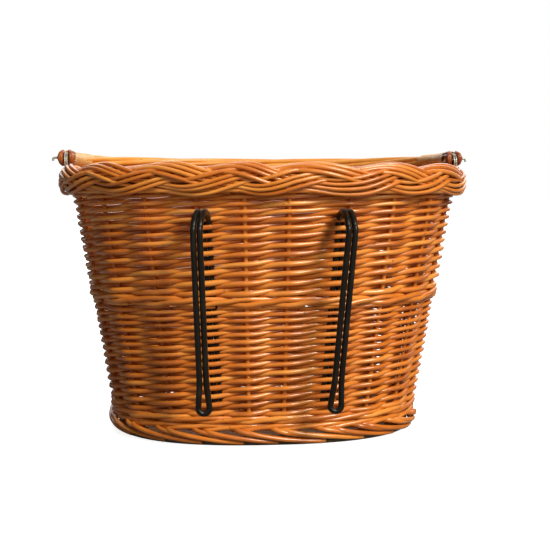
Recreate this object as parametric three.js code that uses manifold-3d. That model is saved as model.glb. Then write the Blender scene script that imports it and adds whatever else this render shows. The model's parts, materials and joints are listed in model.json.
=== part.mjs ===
// Oval willow basket for a bicycle's handlebar. A plywood board makes the base. Willow stakes stand
// in holes round its edge, and thinner rods are woven round the stakes in bands up to a plaited
// border. Two sleeved wire hooks hang the basket on the handlebar, and a bail handle swings over
// the mouth on a wire pin and ring at each side.
// Millimetres, +Z up. The origin is the middle of the board's underside. The hooks face -Y.

import * as THREE from 'three';
import { mergeVertices } from 'three/addons/utils/BufferGeometryUtils.js';
import Module from 'manifold-3d';

const wasm = await Module();
wasm.setup();

// ---- Driving dimensions ----

// The wall's outer face at the base, and how much each half grows for a millimetre of height.
const BASE_HALF_WIDTH = 146.5;
const BASE_HALF_DEPTH = 108.5;
const WIDTH_LEAN = 0.178;
const DEPTH_LEAN = 0.132;
const OVAL_POWER = 2.4; // 2 is an ellipse, more is squarer
const OVAL_SEGMENTS = 48;

// Heights of the bands, from the underside of the board.
const BOARD_THICKNESS = 9;
const FOOT_TOP = 13.7;
const BOTTOM_WALE_TOP = 27;
const LOWER_WEAVE_TOP = 123;
const MIDDLE_WALE_TOP = 135;
const UPPER_WEAVE_TOP = 222;
const RIM_TOP = 250;

const WALL_THICKNESS = 11;
const WALE_PROUD = 0.8; // how far the waled bands stand out of the weave
const BOARD_INSET = 4.5; // from the wall's outer face to the board's edge
const GAP = 0.3; // between pieces that touch

const STAKE_COUNT = 22;
// Stakes that stand off their even place, in parts of the distance between two stakes.
const STAKE_SHIFTS = { 1: -0.22, 3: -0.1, 4: -0.14, 22: -0.07 };
const STAKE_RADIUS = 2;
const STAKE_INSET = WALL_THICKNESS / 2;
const STAKE_HOLE_INSET = 9.5; // where the drilled holes run round the board

const WIRE_RADIUS = 1.75;
const SLEEVE_RADIUS = 2.6;
const SLEEVE_BORE = 2.1;
const HOOK_TOP = 213; // highest point of the sleeve
const HOOK_FOOT = 36; // lowest point of the sleeve
const HOOK_REACH = 38; // between the inner and the outer leg, centre to centre
// How far across the middle of each pair of legs is, inside the wall and in front of it.
const HOOK_LEGS = {
  left: { inner: { top: -60, foot: -48 }, outer: { top: -68.5, foot: -61.5 } },
  right: { inner: { top: 60, foot: 48 }, outer: { top: 63, foot: 51 } },
};
const LEG_SPREAD = 2.8; // half the distance between the two legs of a pair
const BEND_SPREAD = 3.6;
const LOOP_RADIUS = 4.3;

const PIVOT_Z = 259.5;
const BOW_RADIUS = 6.5;
const BOW_HALF_WIDTH = 190;
const BOW_HALF_DEPTH = 140;
const BOW_DROOP = 2.5; // the folded bow's far side lies this much under the pivots
const FORK_EYE_RADIUS = 7.3;
const FORK_WIDTH = 16.4;
const FORK_SLOT = 6.6;
const FORK_BLOCK_END = 14; // distances along the handle from the pin
const FORK_SLOT_END = 11.5;
const FORK_TAIL_END = 30;
const BUTT_GAP = 1; // between the squared ends of the bow, the forks and the bindings
const BINDING_END = 62;
const BINDING_BORE = 6.9;
const BINDING_RADIUS = 8;

const PIN_RADIUS = 1;
const PIN_REACH = { outer: 12.5, inner: 8 }; // from the middle of the fork to each end of the pin
const PIN_TIP = 3; // how far the outer end of the pin turns down
const RING_RADIUS = 9;
const RING_WIRE = 0.75;
const RING_PITCH = 1.85;
const RING_TURNS = 2;
const RING_TOP = PIVOT_Z + 5.4; // the ring is loose round the pin while the handle lies on the rim

// ---- Materials ----

function finish(color, roughness, metalness = 0) {
  return new THREE.MeshStandardMaterial({ color, roughness, metalness });
}

const FINISHES = {
  willow: finish(0xb26b2c, 0.4),
  stakeWillow: finish(0x9a5522, 0.5),
  plywood: finish(0x6d5a3c, 0.7),
  cane: finish(0xc98a4e, 0.45),
  sleeve: finish(0x15150f, 0.35),
  wire: finish(0xa9a89f, 0.35, 0.9),
};

// ---- Booleans ----

function toSolid(geometry) {
  const shell = geometry.clone();
  shell.deleteAttribute('normal');
  shell.deleteAttribute('uv');
  const merged = mergeVertices(shell, 1e-3);
  return new wasm.Manifold(
    new wasm.Mesh({
      numProp: 3,
      vertProperties: Float32Array.from(merged.attributes.position.array),
      triVerts: Uint32Array.from(merged.index.array),
    }),
  );
}

function toGeometry(solid) {
  const mesh = solid.getMesh();
  const geometry = new THREE.BufferGeometry();
  geometry.setAttribute('position', new THREE.BufferAttribute(mesh.vertProperties, 3));
  geometry.setIndex(new THREE.BufferAttribute(mesh.triVerts, 1));
  geometry.computeVertexNormals();
  return geometry;
}

function cut(geometry, cutters) {
  return toGeometry(cutters.reduce((solid, cutter) => solid.subtract(toSolid(cutter)), toSolid(geometry)));
}

// ---- The oval wall ----

// Point on the leaning wall at a bearing round the axis. The offset is outwards from the outer face.
function wallPoint(bearing, z, offset) {
  const a = BASE_HALF_WIDTH + WIDTH_LEAN * z + offset;
  const b = BASE_HALF_DEPTH + DEPTH_LEAN * z + offset;
  const sum = Math.abs(Math.cos(bearing) / a) ** OVAL_POWER + Math.abs(Math.sin(bearing) / b) ** OVAL_POWER;
  const radius = sum ** (-1 / OVAL_POWER);
  return new THREE.Vector3(radius * Math.cos(bearing), radius * Math.sin(bearing), z);
}

// Point on the front of the wall, the -Y side, at a distance across from the middle.
function frontPoint(x, z, offset) {
  const a = BASE_HALF_WIDTH + WIDTH_LEAN * z + offset;
  const b = BASE_HALF_DEPTH + DEPTH_LEAN * z + offset;
  return new THREE.Vector3(x, -b * (1 - Math.abs(x / a) ** OVAL_POWER) ** (1 / OVAL_POWER), z);
}

// A band round the basket. The profile lists [offset, z] corners, anticlockwise seen with the
// outside on the right. A round ring is turned first and then pressed onto the oval.
function band(profile) {
  const roundRadius = 150;
  const corners = [...profile, profile[0]].map(([offset, z]) => new THREE.Vector2(roundRadius + offset, z));
  const geometry = new THREE.LatheGeometry(corners, OVAL_SEGMENTS).rotateX(Math.PI / 2);
  const position = geometry.attributes.position;
  for (let i = 0; i < position.count; i += 1) {
    const offset = Math.hypot(position.getX(i), position.getY(i)) - roundRadius;
    const bearing = Math.atan2(position.getY(i), position.getX(i));
    const point = wallPoint(bearing, position.getZ(i), offset);
    position.setXYZ(i, point.x, point.y, point.z);
  }
  return geometry;
}

function plainBand(bottom, top, proud = 0) {
  return band([
    [-WALL_THICKNESS - proud, bottom],
    [proud, bottom],
    [proud, top],
    [-WALL_THICKNESS - proud, top],
  ]);
}

// ---- Tubes ----

// A path that puts one section of a tube at each of its points, however far apart they are.
class KnotPath extends THREE.CatmullRomCurve3 {
  getUtoTmapping(u) {
    return u;
  }
}

function polygon(radius, sides, Outline) {
  const corners = [];
  for (let i = 0; i < sides; i += 1) {
    const angle = (2 * Math.PI * i) / sides;
    corners.push(new THREE.Vector2(radius * Math.cos(angle), radius * Math.sin(angle)));
  }
  return new Outline(corners);
}

function tube(points, radius, sides, bore = 0) {
  const section = polygon(radius, sides, THREE.Shape);
  if (bore > 0) section.holes.push(polygon(bore, sides, THREE.Path));
  const extrudePath = new KnotPath(points, false, 'centripetal');
  return new THREE.ExtrudeGeometry(section, { steps: points.length - 1, extrudePath });
}

// ---- Stakes ----

// Bearings that share out the wall's length evenly, with the front's middle between two stakes.
function stakeBearings() {
  const middleHeight = UPPER_WEAVE_TOP / 2;
  const samples = 2880;
  const lengths = [0];
  const bearings = [-Math.PI / 2];
  let previous = wallPoint(bearings[0], middleHeight, -STAKE_INSET);
  for (let i = 1; i <= samples; i += 1) {
    bearings.push(-Math.PI / 2 + (2 * Math.PI * i) / samples);
    const point = wallPoint(bearings[i], middleHeight, -STAKE_INSET);
    lengths.push(lengths[i - 1] + point.distanceTo(previous));
    previous = point;
  }
  const pitch = lengths[samples] / STAKE_COUNT;
  return Array.from({ length: STAKE_COUNT }, (_, k) => {
    const target = (k + 0.5 + (STAKE_SHIFTS[k + 1] ?? 0)) * pitch;
    return bearings[lengths.findIndex((length) => length >= target)];
  });
}

// A stake stands in the board, leans out into the middle of the wall and ends under the border.
function stakeTube(bearing, radius, foot, top) {
  const knots = [
    [foot, STAKE_HOLE_INSET],
    [BOARD_THICKNESS, STAKE_HOLE_INSET],
    [BOTTOM_WALE_TOP - 4, STAKE_INSET],
    [LOWER_WEAVE_TOP, STAKE_INSET],
    [top, STAKE_INSET],
  ];
  return tube(knots.map(([z, inset]) => wallPoint(bearing, z, -inset)), radius, 6);
}

const STAKE_BEARINGS = stakeBearings();

function stakeHoles() {
  return STAKE_BEARINGS.map((bearing) => stakeTube(bearing, STAKE_RADIUS + GAP, -5, RIM_TOP));
}

// ---- Hooks ----

function between(range, z) {
  return THREE.MathUtils.mapLinear(z, HOOK_FOOT, HOOK_TOP, range.foot, range.top);
}

// One leg of a hook: up inside the wall, over the bend under the border and down in front.
function hookLeg(legs, leg) {
  const bendRadius = HOOK_REACH / 2;
  const bendZ = HOOK_TOP - SLEEVE_RADIUS - bendRadius;
  const inner = (z) => frontPoint(between(legs.inner, z) + leg * LEG_SPREAD, z, -STAKE_INSET);
  const outer = (z, spread) => {
    const point = frontPoint(between(legs.inner, z), z, -STAKE_INSET);
    return point.setX(between(legs.outer, z) + leg * spread).setY(point.y - HOOK_REACH);
  };
  const points = [inner(HOOK_FOOT), inner(LOWER_WEAVE_TOP)];
  const bendSteps = 6;
  for (let i = 0; i <= bendSteps; i += 1) {
    const angle = (Math.PI * i) / bendSteps;
    const point = inner(bendZ).lerp(outer(bendZ, BEND_SPREAD), (1 - Math.cos(angle)) / 2);
    points.push(point.setZ(bendZ + bendRadius * Math.sin(angle)));
  }
  const loopZ = HOOK_FOOT + SLEEVE_RADIUS + LOOP_RADIUS;
  points.push(outer(150, LEG_SPREAD), outer(75, LEG_SPREAD), outer(loopZ + 12, (LEG_SPREAD + LOOP_RADIUS) / 2));
  points.push(outer(loopZ, LOOP_RADIUS));
  return points;
}

// The whole wire: one leg up and over, the loop at the foot, and the other leg back again.
function hookPoints(legs) {
  const first = hookLeg(legs, -1);
  const second = hookLeg(legs, 1);
  const loopStart = first[first.length - 1];
  const loopEnd = second[second.length - 1];
  const loopSteps = 6;
  const loop = [];
  for (let i = 1; i < loopSteps; i += 1) {
    const angle = (Math.PI * i) / loopSteps;
    const point = loopStart.clone().lerp(loopEnd, (1 - Math.cos(angle)) / 2);
    loop.push(point.setZ(loopStart.z - LOOP_RADIUS * Math.sin(angle)));
  }
  return [...first, ...loop, ...second.reverse()];
}

function hookSleeve(legs) {
  return tube(hookPoints(legs), SLEEVE_RADIUS, 8, SLEEVE_BORE);
}

// The steel wire shows a little past both cut ends of the sleeve.
function hookWire(legs) {
  const points = hookPoints(legs);
  const showing = 0.8;
  points[0].z -= showing;
  points[points.length - 1].z -= showing;
  return tube(points, WIRE_RADIUS, 8);
}

function hookChannels() {
  return Object.values(HOOK_LEGS).map((legs) => {
    const points = hookPoints(legs);
    points[0].z -= 2;
    points[points.length - 1].z -= 2;
    return tube(points, SLEEVE_RADIUS + GAP, 8);
  });
}

// ---- Handle ----

// Point on the middle line of the folded handle, at an angle round from its right pivot.
function bowPoint(angle) {
  const across = Math.sign(Math.cos(angle)) * Math.abs(Math.cos(angle)) ** (2 / OVAL_POWER);
  const along = Math.sin(angle) ** (2 / OVAL_POWER);
  return new THREE.Vector3(BOW_HALF_WIDTH * across, BOW_HALF_DEPTH * along, PIVOT_Z - BOW_DROOP * along);
}

function bowAngle(distance) {
  return Math.asin((distance / BOW_HALF_DEPTH) ** (OVAL_POWER / 2));
}

function bowPoints(startAngle, endAngle, steps) {
  return Array.from({ length: steps + 1 }, (_, i) => bowPoint(startAngle + ((endAngle - startAngle) * i) / steps));
}

// The same stretch of the handle at either side, from one distance behind the pin to another.
function sidePoints(side, start, end, steps) {
  const points = bowPoints(bowAngle(start), bowAngle(end), steps);
  return points.map((point) => point.setX(side * point.x));
}

function handleBow() {
  const start = bowAngle(FORK_TAIL_END + BUTT_GAP);
  return tube(bowPoints(start, Math.PI - start, 30), BOW_RADIUS, 10);
}

// The end of the handle: rods folded round the pin in two prongs, with the ring between them.
function handleFork(side) {
  const eye = new THREE.Shape();
  eye.moveTo(FORK_BLOCK_END, -BOW_RADIUS);
  eye.lineTo(FORK_BLOCK_END, BOW_RADIUS);
  eye.absarc(0, 0, FORK_EYE_RADIUS, Math.PI / 2, (3 * Math.PI) / 2, false);
  const alongX = new THREE.Matrix4().makeBasis(
    new THREE.Vector3(0, 1, 0),
    new THREE.Vector3(0, 0, 1),
    new THREE.Vector3(1, 0, 0),
  );
  const block = new THREE.ExtrudeGeometry(eye, { depth: FORK_WIDTH, bevelEnabled: false, curveSegments: 8 });
  block.applyMatrix4(alongX).translate(side * BOW_HALF_WIDTH - FORK_WIDTH / 2, 0, PIVOT_Z);
  const tail = tube(sidePoints(side, FORK_BLOCK_END - 1, FORK_TAIL_END, 3), BOW_RADIUS, 10);
  const slotStart = -FORK_EYE_RADIUS - 1;
  const slot = new THREE.BoxGeometry(FORK_SLOT, FORK_SLOT_END - slotStart, 3 * FORK_EYE_RADIUS);
  slot.translate(side * BOW_HALF_WIDTH, (FORK_SLOT_END + slotStart) / 2, PIVOT_Z);
  const bore = new THREE.CylinderGeometry(PIN_RADIUS + GAP, PIN_RADIUS + GAP, 2 * FORK_WIDTH, 10);
  bore.rotateZ(Math.PI / 2).translate(side * BOW_HALF_WIDTH, 0, PIVOT_Z);
  const whole = toSolid(block).add(toSolid(tail));
  return toGeometry(whole.subtract(toSolid(slot)).subtract(toSolid(bore)));
}

function handleBinding(side) {
  const points = sidePoints(side, FORK_BLOCK_END + BUTT_GAP, BINDING_END, 6);
  return tube(points, BINDING_RADIUS, 10, BINDING_BORE);
}

function hingePin(side) {
  const corner = 1.2;
  const points = [
    [-PIN_REACH.inner, 0],
    [PIN_REACH.outer - corner, 0],
    [PIN_REACH.outer, -corner],
    [PIN_REACH.outer, -PIN_TIP],
  ];
  const knots = points.map(([x, z]) => new THREE.Vector3(side * (BOW_HALF_WIDTH + x), 0, PIVOT_Z + z));
  return tube(knots, PIN_RADIUS, 8);
}

// The ring ties the pin to the border.
const RING_Z = RING_TOP - RING_WIRE - RING_RADIUS;

function hingeRing(side) {
  const stepsPerTurn = 20;
  const steps = RING_TURNS * stepsPerTurn;
  const points = Array.from({ length: steps + 1 }, (_, i) => {
    const angle = (2 * Math.PI * i) / stepsPerTurn;
    const across = RING_PITCH * RING_TURNS * (i / steps - 0.5);
    return new THREE.Vector3(
      side * BOW_HALF_WIDTH + across,
      RING_RADIUS * Math.sin(angle),
      RING_Z - RING_RADIUS * Math.cos(angle),
    );
  });
  return tube(points, RING_WIRE, 6);
}

// The way the ring takes through the border's rods.
function ringTunnel(side) {
  const halfWidth = (RING_PITCH * RING_TURNS) / 2 + RING_WIRE + GAP;
  const inner = RING_RADIUS - RING_WIRE - GAP;
  const outer = RING_RADIUS + RING_WIRE + GAP;
  const profile = [
    [inner, -halfWidth],
    [outer, -halfWidth],
    [outer, halfWidth],
    [inner, halfWidth],
    [inner, -halfWidth],
  ];
  const tunnel = new THREE.LatheGeometry(profile.map(([x, y]) => new THREE.Vector2(x, y)), 20);
  return tunnel.rotateZ(Math.PI / 2).translate(side * BOW_HALF_WIDTH, 0, RING_Z);
}

// ---- Basket body ----

function baseBoard() {
  const outline = Array.from({ length: OVAL_SEGMENTS }, (_, i) => {
    const point = wallPoint((2 * Math.PI * i) / OVAL_SEGMENTS, 0, -BOARD_INSET);
    return new THREE.Vector2(point.x, point.y);
  });
  const plate = new THREE.ExtrudeGeometry(new THREE.Shape(outline), { depth: BOARD_THICKNESS, bevelEnabled: false });
  return cut(plate, stakeHoles());
}

function footBorder() {
  const inside = GAP - BOARD_INSET;
  return band([
    [inside, GAP],
    [0, GAP],
    [WALE_PROUD, 4],
    [WALE_PROUD, FOOT_TOP],
    [inside, FOOT_TOP],
  ]);
}

function bottomWale() {
  const top = BOTTOM_WALE_TOP - GAP;
  const step = -BOARD_INSET;
  return band([
    [-WALL_THICKNESS, BOARD_THICKNESS + GAP],
    [step, BOARD_THICKNESS + GAP],
    [step, FOOT_TOP + GAP],
    [WALE_PROUD, FOOT_TOP + GAP],
    [WALE_PROUD, top],
    [-WALL_THICKNESS, top],
  ]);
}

function plaitBorder() {
  const middle = (UPPER_WEAVE_TOP + RIM_TOP) / 2;
  const section = band([
    [-9, UPPER_WEAVE_TOP],
    [6, UPPER_WEAVE_TOP],
    [12, middle - 8],
    [12, middle + 7],
    [5, RIM_TOP],
    [-8, RIM_TOP],
    [-15, middle + 7],
    [-15, middle - 7],
  ]);
  return cut(section, [ringTunnel(-1), ringTunnel(1)]);
}

// ---- Assembly ----

const basket = new THREE.Group();

function add(name, geometry, material) {
  const mesh = new THREE.Mesh(geometry, material);
  mesh.name = name;
  basket.add(mesh);
}

const throughWall = [...stakeHoles(), ...hookChannels()];

add('base_board', baseBoard(), FINISHES.plywood);
add('foot_border', footBorder(), FINISHES.willow);
add('bottom_wale', cut(bottomWale(), stakeHoles()), FINISHES.willow);
add('lower_weave', cut(plainBand(BOTTOM_WALE_TOP, LOWER_WEAVE_TOP - GAP), throughWall), FINISHES.willow);
add('middle_wale', cut(plainBand(LOWER_WEAVE_TOP, MIDDLE_WALE_TOP - GAP, WALE_PROUD), throughWall), FINISHES.willow);
add('upper_weave', cut(plainBand(MIDDLE_WALE_TOP, UPPER_WEAVE_TOP - GAP), throughWall), FINISHES.willow);
add('plait_border', plaitBorder(), FINISHES.willow);

STAKE_BEARINGS.forEach((bearing, k) => {
  const name = `stake_${String(k + 1).padStart(2, '0')}`;
  const top = UPPER_WEAVE_TOP - GAP;
  add(name, stakeTube(bearing, STAKE_RADIUS, GAP * 2, top), FINISHES.stakeWillow);
});

add('handle_bow', handleBow(), FINISHES.willow);
for (const [name, side] of [['left', -1], ['right', 1]]) {
  add(`${name}_hook_wire`, hookWire(HOOK_LEGS[name]), FINISHES.wire);
  add(`${name}_hook_sleeve`, hookSleeve(HOOK_LEGS[name]), FINISHES.sleeve);
  add(`${name}_handle_fork`, handleFork(side), FINISHES.willow);
  add(`${name}_handle_binding`, handleBinding(side), FINISHES.cane);
  add(`${name}_hinge_pin`, hingePin(side), FINISHES.wire);
  add(`${name}_hinge_ring`, hingeRing(side), FINISHES.wire);
}

export default basket;
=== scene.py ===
# Oval willow basket for a bicycle's handlebar, put together in the order in which it is made: board,
# stakes, foot border, woven bands, plaited border, hooks, bail handle. Metres, +Z up, hooks to -Y.
import bisect
import json
import math
import random

import bmesh
import bpy
from mathutils import Matrix, Vector, noise


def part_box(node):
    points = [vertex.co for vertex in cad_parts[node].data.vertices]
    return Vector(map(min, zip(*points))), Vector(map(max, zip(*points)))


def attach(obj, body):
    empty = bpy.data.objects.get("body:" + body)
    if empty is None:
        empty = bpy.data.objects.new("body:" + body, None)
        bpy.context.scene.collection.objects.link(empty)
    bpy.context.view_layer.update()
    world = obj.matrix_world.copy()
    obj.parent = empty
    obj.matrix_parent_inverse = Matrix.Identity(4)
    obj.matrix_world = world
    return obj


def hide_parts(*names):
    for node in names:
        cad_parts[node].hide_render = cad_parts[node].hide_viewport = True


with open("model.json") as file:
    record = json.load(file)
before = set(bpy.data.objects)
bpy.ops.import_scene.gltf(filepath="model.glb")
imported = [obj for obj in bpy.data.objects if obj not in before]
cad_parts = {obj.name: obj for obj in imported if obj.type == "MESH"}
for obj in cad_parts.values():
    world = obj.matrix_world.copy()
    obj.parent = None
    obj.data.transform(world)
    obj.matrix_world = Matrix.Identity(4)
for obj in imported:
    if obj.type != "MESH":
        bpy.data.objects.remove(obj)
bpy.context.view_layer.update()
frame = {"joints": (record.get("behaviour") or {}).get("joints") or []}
scene = bpy.context.scene


# ---- Base board ----
# An oval of thin plywood, sawn out and drilled round its edge for the stakes. It carries the
# whole basket. The edge shows its plies, and both faces were stained with the willow.

LOWER_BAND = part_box("lower_weave")[1]
UPPER_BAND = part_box("upper_weave")[1]
BOARD_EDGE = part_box("base_board")[1]
WIDTH_LEAN = (UPPER_BAND.x - LOWER_BAND.x) / (UPPER_BAND.z - LOWER_BAND.z)
DEPTH_LEAN = (UPPER_BAND.y - LOWER_BAND.y) / (UPPER_BAND.z - LOWER_BAND.z)
BASE_HALF_WIDTH = LOWER_BAND.x - WIDTH_LEAN * LOWER_BAND.z
BASE_HALF_DEPTH = LOWER_BAND.y - DEPTH_LEAN * LOWER_BAND.z
OVAL_POWER = 2.4
BOARD_INSET = BASE_HALF_WIDTH - BOARD_EDGE.x
BOARD_CHAMFER = 0.0006
STAKES = 22
STAKE_SHIFTS = {0: -0.22, 2: -0.1, 3: -0.14, 21: -0.07}  # off their even place, in stakes
STAKE_INSET = 0.0055
WEAVE_INSET = 0.0075
STAKE_HOLE_INSET = 0.0095
STAKE_HOLE_RADIUS = 0.00212
DRILL_DEPTH = 0.05
PLY_COUNT = 5
WALK_STEPS = 2880


def wall_halves(height, proud):
    """Half the leaning wall's width and half its depth. Proud is outwards from its outer face."""
    half_width = BASE_HALF_WIDTH + WIDTH_LEAN * height + proud
    half_depth = BASE_HALF_DEPTH + DEPTH_LEAN * height + proud
    return half_width, half_depth


def wall_point(bearing, height, proud):
    """Point on the oval wall at a bearing from its middle."""
    half_width, half_depth = wall_halves(height, proud)
    across = abs(math.cos(bearing) / half_width) ** OVAL_POWER
    along = abs(math.sin(bearing) / half_depth) ** OVAL_POWER
    reach = (across + along) ** (-1 / OVAL_POWER)
    return Vector((reach * math.cos(bearing), reach * math.sin(bearing), height))


def walk_round_wall():
    """Bearings all the way round from the front's middle, and the wall's length up to each."""
    middle_height = UPPER_BAND.z / 2
    bearings = [2 * math.pi * i / WALK_STEPS - math.pi / 2 for i in range(WALK_STEPS + 1)]
    points = [wall_point(bearing, middle_height, -STAKE_INSET) for bearing in bearings]
    lengths = [0.0]
    for here, there in zip(points, points[1:]):
        lengths.append(lengths[-1] + (there - here).length)
    return bearings, lengths


WALK_BEARINGS, WALK_LENGTHS = walk_round_wall()
STAKE_PITCH = WALK_LENGTHS[-1] / STAKES


def on_wall(place, height, proud):
    """Point on the wall at a place counted in stakes, where 0 is the first stake."""
    stake = math.floor(place)
    near, far = (STAKE_SHIFTS.get(number % STAKES, 0.0) for number in (stake, stake + 1))
    shifted = place + near + (far - near) * (place - stake)
    rest = (shifted + 0.5) * STAKE_PITCH % WALK_LENGTHS[-1]
    after = min(bisect.bisect_right(WALK_LENGTHS, rest), len(WALK_LENGTHS) - 1)
    before = after - 1
    part = (rest - WALK_LENGTHS[before]) / (WALK_LENGTHS[after] - WALK_LENGTHS[before])
    bearing = WALK_BEARINGS[before] + part * (WALK_BEARINGS[after] - WALK_BEARINGS[before])
    return wall_point(bearing, height, proud)


class Channel:
    """A socket of a finish's nodes. Arithmetic on it adds the Math nodes that work it out."""

    def __init__(self, finish, socket):
        self.finish = finish
        self.socket = socket

    def math(self, operation, *values):
        sockets = dict(enumerate(values))
        return self.finish.node("ShaderNodeMath", {"operation": operation}, sockets)

    def __add__(self, other):
        return self.math("ADD", self, other)

    def __sub__(self, other):
        return self.math("SUBTRACT", self, other)

    def __mul__(self, other):
        return self.math("MULTIPLY", self, other)

    __radd__ = __add__

    def rise(self, low, high):
        """0 below low and 1 above high, with a smooth step between. Low may be the greater."""
        settings = {"interpolation_type": "SMOOTHSTEP"}
        sockets = {"Value": self, "From Min": low, "From Max": high}
        return self.finish.node("ShaderNodeMapRange", settings, sockets)


class Finish:
    """A material. Its node method adds a node: the kind, then the settings, then the sockets."""

    def __init__(self, name, **surface):
        self.material = bpy.data.materials.new(name)
        self.material.use_nodes = True
        self.tree = self.material.node_tree
        self.surface = self.tree.nodes["Principled BSDF"]
        for socket, value in surface.items():
            self.feed(self.surface.inputs[socket.replace("_", " ")], value)

    def feed(self, socket, value):
        if isinstance(value, Channel):
            self.tree.links.new(value.socket, socket)
        else:
            socket.default_value = value

    def node(self, kind, settings, sockets, output=0):
        node = self.tree.nodes.new(kind)
        for setting, value in settings.items():
            if setting == "stops":
                while len(node.color_ramp.elements) < len(value):
                    node.color_ramp.elements.new(1.0)
                for element, (position, colour) in zip(node.color_ramp.elements, value):
                    element.position = position
                    element.color = (*colour, 1.0)
            else:
                setattr(node, setting, value)
        for socket, value in sockets.items():
            self.feed(node.inputs[socket], value)
        return Channel(self, node.outputs[output])

    def mix(self, part, first, second):
        """Colour mixed from two, by a part from 0 to 1."""
        colours = [c if isinstance(c, Channel) else (*c, 1.0) for c in (first, second)]
        sockets = {0: part, 6: colours[0], 7: colours[1]}
        return self.node("ShaderNodeMix", {"data_type": "RGBA"}, sockets, output=2)

    def paint(self, colour, roughness):
        self.feed(self.surface.inputs["Base Color"], colour)
        self.feed(self.surface.inputs["Roughness"], roughness)

    def bump(self, height, distance, strength):
        sockets = {"Height": height, "Distance": distance, "Strength": strength}
        self.feed(self.surface.inputs["Normal"], self.node("ShaderNodeBump", {}, sockets))


def plywood_finish():
    finish = Finish("plywood", Coat_Weight=0.15, Coat_Roughness=0.35)
    place = finish.node("ShaderNodeTexCoord", {}, {}, "Object")
    height = finish.node("ShaderNodeSeparateXYZ", {}, {"Vector": place}, "Z")
    facing = finish.node("ShaderNodeNewGeometry", {}, {}, "Normal")
    upright = finish.node("ShaderNodeSeparateXYZ", {}, {"Vector": facing}, "Z")
    edge = upright.math("ABSOLUTE", upright).rise(0.8, 0.4)
    lengthways = finish.node("ShaderNodeMapping", {}, {"Vector": place, "Scale": (6, 90, 90)})
    grain = finish.node("ShaderNodeTexNoise", {}, {"Vector": lengthways, "Scale": 4.0, "Detail": 6.0})
    blotch = finish.node("ShaderNodeTexNoise", {}, {"Vector": place, "Scale": 40.0, "Detail": 3.0})
    speck = finish.node("ShaderNodeTexNoise", {}, {"Vector": place, "Scale": 900.0, "Detail": 3.0})
    layer = height * (PLY_COUNT / BOARD_EDGE.z) + blotch * 0.12
    ply = layer.math("PINGPONG", layer, 1.0)
    face = finish.mix(grain.rise(0.3, 0.7), (0.20, 0.105, 0.040), (0.34, 0.20, 0.085))
    edge_colour = finish.mix(ply.rise(0.35, 0.65), (0.085, 0.055, 0.026), (0.19, 0.135, 0.07))
    worn = finish.mix(speck.rise(0.52, 0.75) * 0.5, edge_colour, (0.05, 0.03, 0.015))
    finish.paint(finish.mix(edge, face, worn), 0.5 + blotch * 0.3)
    finish.bump(speck * edge + grain * 0.5 + ply * edge * 0.5, 0.0003, 0.5)
    return finish.material


def placed(name, data):
    """A new object in the scene."""
    thing = bpy.data.objects.new(name, data)
    scene.collection.objects.link(thing)
    return thing


def hang(name, mesh, material, body, nodes):
    """Makes the finished piece: its material and the body that it rides on. It hides the CAD parts that
    it stands for.
    """
    piece = placed(name, mesh)
    mesh.materials.clear()
    mesh.materials.append(material)
    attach(piece, body)
    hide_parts(*nodes)


def mesh_from(build, name):
    """The mesh of a finished bmesh, which is freed."""
    mesh = bpy.data.meshes.new(name)
    build.to_mesh(mesh)
    build.free()
    return mesh


def smooth_but_for(mesh, degrees):
    """Smooth shading, with a hard edge wherever the faces turn by more than this."""
    mesh.shade_smooth()
    mesh.set_sharp_from_angle(angle=math.radians(degrees))


def board_mesh():
    board = bmesh.new()
    bmesh.ops.create_circle(board, cap_ends=True, segments=144, radius=1.0)
    for vert in board.verts:
        vert.co = wall_point(math.atan2(vert.co.y, vert.co.x), 0.0, -BOARD_INSET)
    raised = bmesh.ops.extrude_face_region(board, geom=board.faces[:])["geom"]
    lifted = [part for part in raised if isinstance(part, bmesh.types.BMVert)]
    bmesh.ops.translate(board, verts=lifted, vec=(0.0, 0.0, BOARD_EDGE.z))
    bmesh.ops.recalc_face_normals(board, faces=board.faces[:])
    rims = [edge for edge in board.edges if abs(edge.verts[0].co.z - edge.verts[1].co.z) < 1e-6]
    bmesh.ops.bevel(board, geom=rims, offset=BOARD_CHAMFER, segments=2, profile=0.5,
                    affect="EDGES", material=-1)
    return mesh_from(board, "board")


def drill_mesh():
    drills = bmesh.new()
    for stake in range(STAKES):
        hole = Matrix.Translation(on_wall(stake, 0.0, -STAKE_HOLE_INSET))
        bmesh.ops.create_cone(drills, cap_ends=True, segments=20, radius1=STAKE_HOLE_RADIUS,
                              radius2=STAKE_HOLE_RADIUS, depth=DRILL_DEPTH, matrix=hole)
    return mesh_from(drills, "drills")


def drilled(board, drills):
    """The board's mesh with the drills' mesh cut away."""
    blank = placed("blank", board)
    tool = placed("tool", drills)
    cut = blank.modifiers.new("cut", "BOOLEAN")
    cut.object = tool
    cut.operation = "DIFFERENCE"
    cut.solver = "EXACT"
    evaluated = blank.evaluated_get(bpy.context.evaluated_depsgraph_get())
    mesh = bpy.data.meshes.new_from_object(evaluated)
    bpy.data.objects.remove(blank)
    bpy.data.objects.remove(tool)
    smooth_but_for(mesh, 35)
    return mesh


hang("base_board_plywood", drilled(board_mesh(), drill_mesh()), plywood_finish(), "basket",
     ["base_board"])


# ---- Stakes ----
# Stout willow rods, steamed brown. Each stands in a hole of the board, leans out through the
# weave and turns into the plaited border at the top.

STAKE_RADIUS = 0.0020
STAKE_TOP = 0.236
STAKE_LEAN = 0.03  # the most that a stake leans aside, in stakes
STAKE_FOOT = 0.0008
STAKE_CLEAR = (0.016, 0.0075)  # where it has left the board: height and inset
STAKE_WOVEN_FROM = 0.025
STAKE_STEP = 0.015
STAKE_WOVEN_INSET = WEAVE_INSET - 0.0006


class Rod:
    """One willow rod: the points along its middle, its radius at each, and how light it is."""

    def __init__(self, points, radii, tone):
        self.points = points
        self.radii = radii
        self.tone = tone


def mixed(rng, low=0.0, high=1.0):
    """A rod's tone. Most are near the middle."""
    return low + (high - low) * (rng.random() + rng.random()) / 2


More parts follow.
